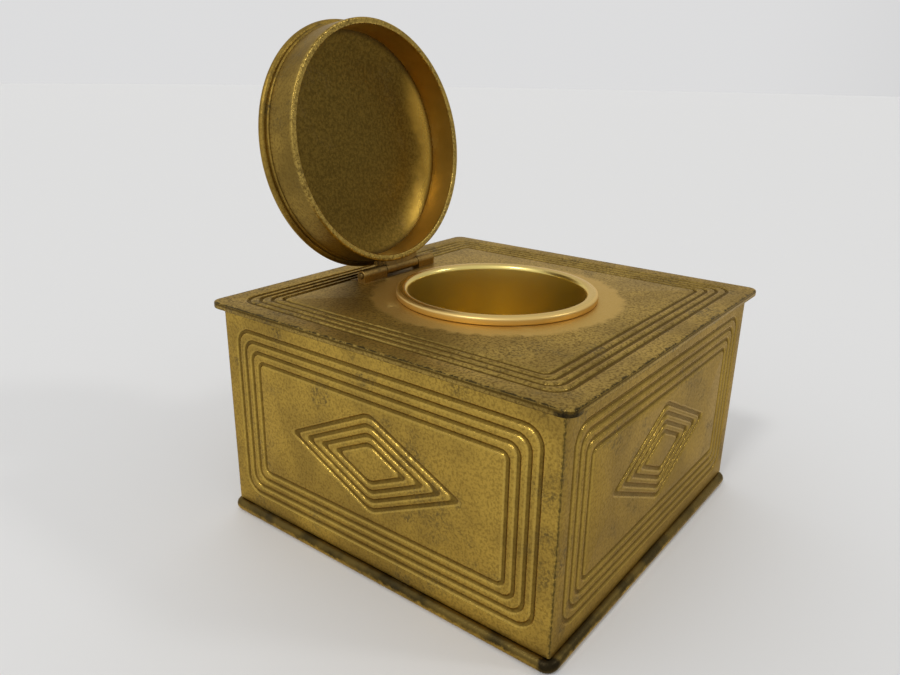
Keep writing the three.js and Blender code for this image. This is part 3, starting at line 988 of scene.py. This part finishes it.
outer_knuckles = ((leaf_low.x, knuckle_low.x - knuckle_gap),
                  (knuckle_high.x + knuckle_gap, leaf_high.x))
for start, end in outer_knuckles:
    foot = squared_block(
        "foot", (start + foot_inset, pivot.y - foot_side, leaf_plate_top - foot_sink),
        (end - foot_inset, pivot.y + foot_side, pivot.z))
    carve(leaf, foot, "UNION")
    carve(leaf, barrel_rod("knuckle", start, end), "UNION")
bore_through(leaf)
finish_mesh(leaf)

# The strap starts as a whole ring round the skirt, cut down to the width of its knuckle.
strap_bore = skirt_radius + seat_gap
strap_radius = skirt_radius + 1.1 * MM
strap_low = 0.45 * MM
strap_high = 4.5 * MM
cut_reach = 40 * MM
strap = turn_profile("strap", [
    (strap_bore, strap_low), (strap_radius - hinge_edge, strap_low),
    (strap_radius, strap_low + hinge_edge), (strap_radius, strap_high - hinge_edge),
    (strap_radius - hinge_edge, strap_high), (strap_bore, strap_high), (strap_bore, strap_low)], 160)
kept_width = squared_block(
    "strap_width", (knuckle_low.x, 0, -MM), (knuckle_high.x, cut_reach, strap_high + MM))
carve(strap, kept_width, "INTERSECT")
swing_open(strap)
knuckle = barrel_rod("lid_knuckle_strap", knuckle_low.x, knuckle_high.x)
carve(knuckle, strap, "UNION")
bore_through(knuckle)
finish_mesh(knuckle)

pin_low, pin_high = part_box("hinge_pin")
pin_radius = 0.72 * MM
pin_dome = 0.2 * MM
pin_length = pin_high.x - pin_low.x
profile = [(0, 0)]
profile += arc((pin_radius - pin_dome, pin_dome), (pin_dome, pin_dome), -90, 0, 3)
profile += arc((pin_radius - pin_dome, pin_length - pin_dome), (pin_dome, pin_dome), 0, 90, 3)
profile += [(0, pin_length)]
pin = turn_profile("hinge_pin_rod", profile, 32)
pin.rotation_euler = (0, math.radians(90), 0)
pin.location = (pin_low.x, pivot.y, pivot.z)
activate(pin)
bpy.ops.object.transform_apply(location=True, rotation=True, scale=True)

hinge_metal, tree, shader, colour = aged_gilding(
    "aged_gilt_hinge", gold=(0.34, 0.21, 0.06), dull=(0.18, 0.11, 0.034), roughness=0.4)
feed(tree, shader.inputs["Base Color"], colour)
for piece, body, node_name in ((leaf, "case", "hinge_leaf"), (knuckle, "lid", "lid_knuckle")):
    piece.data.materials.append(hinge_metal)
    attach(piece, body)
    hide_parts(node_name)
pin.data.materials.append(dark_brass)
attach(pin, "case")
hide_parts("hinge_pin")

# ---- Floor and light ----
# A wide white table top in a bright, evenly lit room. A broad window and a lamp on the left
# and a smaller window off the front right corner give the glints.
table_reach = 4.0
bpy.ops.mesh.primitive_circle_add(vertices=128, radius=table_reach, fill_type="NGON")
floor = bpy.context.object
floor.name = "floor"
white_table, tree, shader = start_finish("white_table", 0.6)
shader.inputs["Metallic"].default_value = 0.0
shader.inputs["Base Color"].default_value = (0.80, 0.80, 0.795, 1)
floor.data.materials.append(white_table)

world = bpy.data.worlds.new("room")
world.use_nodes = True
tree = world.node_tree
dim_side = tree.nodes.new("ShaderNodeVectorMath")
dim_side.operation = "DOT_PRODUCT"
dim_side.inputs[1].default_value = (0.6, -0.8, 0.0)
tree.links.new(tree.nodes.new("ShaderNodeTexCoord").outputs["Generated"], dim_side.inputs[0])
bright_wall = (0.72, 0.72, 0.725)
dim_wall = (0.50, 0.50, 0.50)
room = tint(tree, spread(tree, dim_side.outputs["Value"], 0.3, 0.95), bright_wall, dim_wall)
feed(tree, tree.nodes["Background"].inputs["Color"], room)
bpy.context.scene.world = world
bpy.context.scene.view_settings.view_transform = "Standard"


def shine(name, place, power, width):
    """A light aimed at the middle of the box from that side, as broad as its width in degrees."""
    bpy.ops.object.light_add(type="SUN", location=place)
    light = bpy.context.object
    light.name = name
    light.data.energy = power
    light.data.angle = math.radians(width)
    towards = Vector((0, 0, 0.04)) - Vector(place)
    light.rotation_euler = towards.to_track_quat("-Z", "Y").to_euler()


shine("window_sky", (-1.2, -0.2, 1.2), 0.15, 60)
shine("ceiling_light", (-0.64, -0.04, 0.78), 0.6, 8)
shine("front_window", (0.40, -0.70, 0.64), 0.3, 8)
